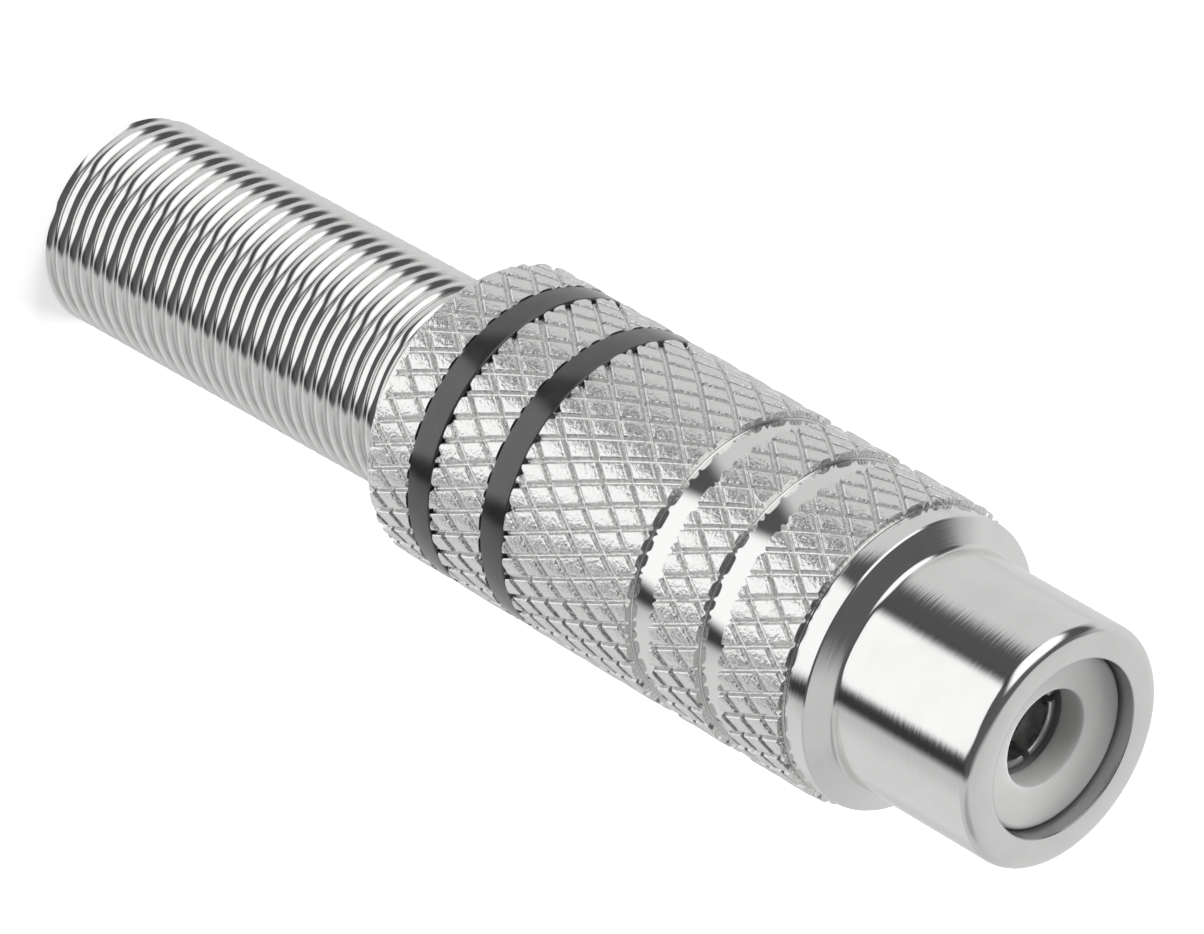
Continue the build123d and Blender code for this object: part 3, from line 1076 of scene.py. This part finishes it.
# Lays one soft panel over the brightness that the sky has so far
def hangPanel(tree, ray, below, panel):
    turn, rise, roll = (radians(panel[key]) for key in ("turn", "rise", "roll"))
    facing = Vector((cos(rise) * cos(turn), cos(rise) * sin(turn), sin(rise)))
    across = Matrix.Rotation(roll, 3, facing) @ Vector((-sin(turn), cos(turn), 0))
    ahead = addNode(tree, "ShaderNodeVectorMath", {"operation": "DOT_PRODUCT"}, {0: ray, 1: facing})
    # Just short of 1, where the angle would be divided by nothing
    cosine = addNode(tree, "ShaderNodeMath", {"operation": "MINIMUM"}, {
        0: ahead.outputs["Value"], 1: 0.99999})
    angle = addNode(tree, "ShaderNodeMath", {"operation": "ARCCOSINE"}, {0: cosine.outputs[0]})
    sine = addNode(tree, "ShaderNodeMath", {"operation": "SINE"}, {0: angle.outputs[0]})
    stretch = addNode(tree, "ShaderNodeMath", {"operation": "DIVIDE"}, {
        0: angle.outputs[0], 1: sine.outputs[0]})
    powers = []
    for axis, halfSize in zip((across, facing.cross(across)), panel["size"]):
        share = panelShare(tree, ray, axis, stretch.outputs[0], halfSize)
        powers.append(addNode(tree, "ShaderNodeMath", {"operation": "POWER"}, {
            0: share, 1: panel["round"]}))
    total = addNode(tree, "ShaderNodeMath", {"operation": "ADD"}, {
        0: powers[0].outputs[0], 1: powers[1].outputs[0]})
    reach = addNode(tree, "ShaderNodeMath", {"operation": "POWER"}, {
        0: total.outputs[0], 1: 1 / panel["round"]})
    inside = addNode(tree, "ShaderNodeMapRange", {"interpolation_type": "SMOOTHSTEP"}, {
        "Value": reach.outputs[0], "From Min": 1 + panel["soft"], "From Max": 1 - panel["soft"]})
    level = addNode(tree, "ShaderNodeMix", {"data_type": "FLOAT"}, {
        0: inside.outputs[0], 2: below, 3: panel["glow"]})
    return level.outputs[0]


# The camera sees white paper, polished metal the panels, and matt surfaces an even light
def makeSurroundings():
    world = bpy.data.worlds.new("studio")
    bpy.context.scene.world = world
    world.use_nodes = True
    tree = world.node_tree
    tree.nodes.clear()
    ray = addNode(tree, "ShaderNodeTexCoord").outputs["Generated"]
    axes = addNode(tree, "ShaderNodeSeparateXYZ", None, {0: ray})
    room = addNode(tree, "ShaderNodeMapRange", None, {
        "Value": axes.outputs["Z"],
        "From Min": studio["roomSpan"][0],
        "From Max": studio["roomSpan"][1],
        "To Min": studio["roomLow"],
        "To Max": studio["roomHigh"],
    })
    level = room.outputs[0]
    for panel in panels.values():
        level = hangPanel(tree, ray, level, {**softPanel, **panel})
    mirrored = addNode(tree, "ShaderNodeBackground", None, {"Color": level, "Strength": 1.0})
    paper = addNode(tree, "ShaderNodeBackground", None, {"Color": white, "Strength": 1.0})
    even = addNode(tree, "ShaderNodeBackground", None, {
        "Color": white, "Strength": studio["plainLight"]})
    path = addNode(tree, "ShaderNodeLightPath")
    clear = addNode(tree, "ShaderNodeMath", {"operation": "MAXIMUM"}, {
        0: path.outputs["Is Glossy Ray"], 1: path.outputs["Is Transmission Ray"]})
    byPiece = addNode(tree, "ShaderNodeMixShader", None, {
        0: clear.outputs[0], 1: even.outputs[0], 2: mirrored.outputs[0]})
    seen = addNode(tree, "ShaderNodeMixShader", None, {
        0: path.outputs["Is Camera Ray"], 1: byPiece.outputs[0], 2: paper.outputs[0]})
    addNode(tree, "ShaderNodeOutputWorld", None, {"Surface": seen.outputs[0]})


makeSurroundings()

lamps = [
    {"name": "backLamp", "place": (-0.17, 0.47, 0.34), "power": 2.8},
    {"name": "leftLamp", "place": (-0.5, -0.2, 0.3), "power": 1.8},
]
for lamp in lamps:
    deselectAll()
    bpy.ops.object.light_add(type="AREA", location=lamp["place"])
    light = bpy.context.object
    light.name = lamp["name"]
    light.data.size = studio["lampSize"]
    light.data.energy = lamp["power"]
    aim = Vector(studio["lampAim"]) - Vector(lamp["place"])
    light.rotation_euler = aim.to_track_quat("-Z", "Y").to_euler()
    light.visible_glossy = False
print("studio done")


# Camera

# Where the photograph was taken from: a long lens about 29 cm away
viewpoint = {
    "lens": 284.05,
    "sensor": 36,
    "clip": (0.01, 10),
    "tilt": 37.809,
    "turnInFrame": 30.249,
    "rimInFrame": (14.066, 8.590, 289.18),
}


def placeCamera():
    tilt = radians(viewpoint["tilt"])
    turn = radians(viewpoint["turnInFrame"])
    # The connector's own axes as the camera sees them: right, down and forwards
    axis = Vector((cos(tilt) * cos(turn), cos(tilt) * sin(turn), -sin(tilt)))
    side = Vector((-sin(turn), cos(turn), 0))
    back = axis.cross(side)
    right = Vector((side[0], back[0], axis[0]))
    down = Vector((side[1], back[1], axis[1]))
    forward = Vector((side[2], back[2], axis[2]))
    x, y, z = viewpoint["rimInFrame"]
    place = Vector((0, 0, heightAt(0))) - (right * x + down * y + forward * z) * mm
    bpy.ops.object.camera_add()
    camera = bpy.context.object
    turned = Matrix((right, -down, -forward)).transposed().to_4x4()
    camera.matrix_world = Matrix.Translation(place) @ turned
    camera.data.lens = viewpoint["lens"]
    camera.data.sensor_width = viewpoint["sensor"]
    camera.data.clip_start, camera.data.clip_end = viewpoint["clip"]
    bpy.context.scene.camera = camera


deselectAll()
placeCamera()
bpy.context.scene.view_settings.view_transform = "Standard"

print("scene done")
